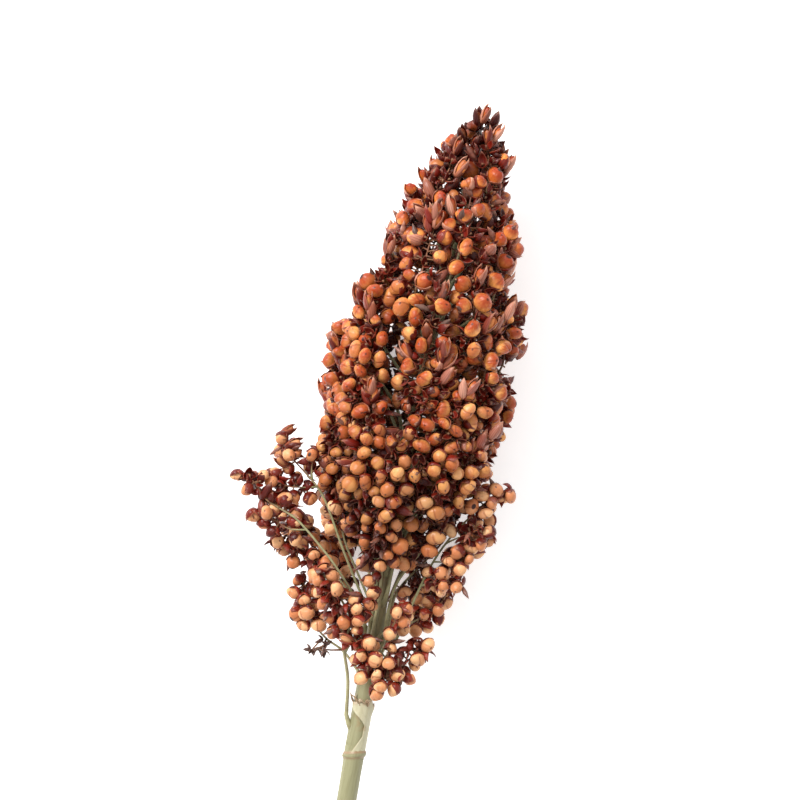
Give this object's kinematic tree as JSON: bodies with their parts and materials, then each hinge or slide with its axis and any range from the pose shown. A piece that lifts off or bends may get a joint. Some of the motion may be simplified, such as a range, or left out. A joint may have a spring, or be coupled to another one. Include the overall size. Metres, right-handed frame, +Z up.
{
  "type": "sorghum seed head",
  "caption": "Ripe sorghum seed head lying on its side: a dense spindle of round grains on branchlets, looser sprays at its foot, and a short cut stub of stalk.",
  "frame": {"origin": "on the surface that the head lies on, under the middle of its bounding box", "axes": "+Y along the stalk, from the cut end to the tip of the head; +Z up, off the surface; +X across, to the right seen from above with the tip pointing away"},
  "size_m": [0.0842, 0.244, 0.0566],
  "materials": {
    "stalk": "satin, pale sage straw",
    "lower_grain": "satin, peach tan",
    "middle_grain": "satin, orange tan",
    "upper_grain": "satin, red brown",
    "husk": "glossy, dark burgundy",
    "stem": "satin, olive brown"
  },
  "bodies": {
    "root": {"stalk": "stalk", "tip_cluster": "upper_grain", "loose_left_high": "lower_grain", "loose_left_long": "lower_grain", "loose_left_low": "lower_grain", "loose_left_inner": "lower_grain", "loose_left_drooping": "lower_grain", "loose_front_left": "lower_grain", "loose_right_high": "lower_grain", "loose_right_middle": "lower_grain", "loose_right_inner": "lower_grain", "loose_right_drooping": "lower_grain", "loose_front_drooping": "lower_grain", "loose_under_left": "lower_grain", "loose_under_middle": "lower_grain", "loose_under_right": "lower_grain", "loose_back_left": "lower_grain", "loose_back_right": "lower_grain", "dense_branch_01": "middle_grain", "dense_branch_02": "middle_grain", "dense_branch_03": "middle_grain", "dense_branch_04": "middle_grain", "dense_branch_05": "middle_grain", "dense_branch_06": "middle_grain", "dense_branch_07": "middle_grain", "dense_branch_08": "middle_grain", "dense_branch_09": "middle_grain", "dense_branch_10": "middle_grain", "dense_branch_11": "middle_grain", "dense_branch_12": "middle_grain", "dense_branch_13": "middle_grain", "dense_branch_14": "middle_grain", "dense_branch_15": "middle_grain", "dense_branch_16": "middle_grain", "dense_branch_17": "middle_grain", "dense_branch_18": "middle_grain", "dense_branch_19": "middle_grain", "dense_branch_20": "middle_grain", "dense_branch_21": "middle_grain", "dense_branch_22": "middle_grain", "dense_branch_23": "middle_grain", "dense_branch_24": "middle_grain", "dense_branch_25": "upper_grain", "dense_branch_26": "upper_grain", "dense_branch_27": "upper_grain", "dense_branch_28": "upper_grain", "dense_branch_29": "upper_grain", "dense_branch_30": "upper_grain", "dense_branch_31": "upper_grain", "dense_branch_32": "upper_grain", "dense_branch_33": "upper_grain", "dense_branch_34": "upper_grain", "dense_branch_35": "upper_grain", "dense_branch_36": "upper_grain", "dense_branch_37": "upper_grain", "dense_branch_38": "upper_grain", "dense_branch_39": "upper_grain", "dense_branch_40": "upper_grain"}
  },
  "joints": []
}
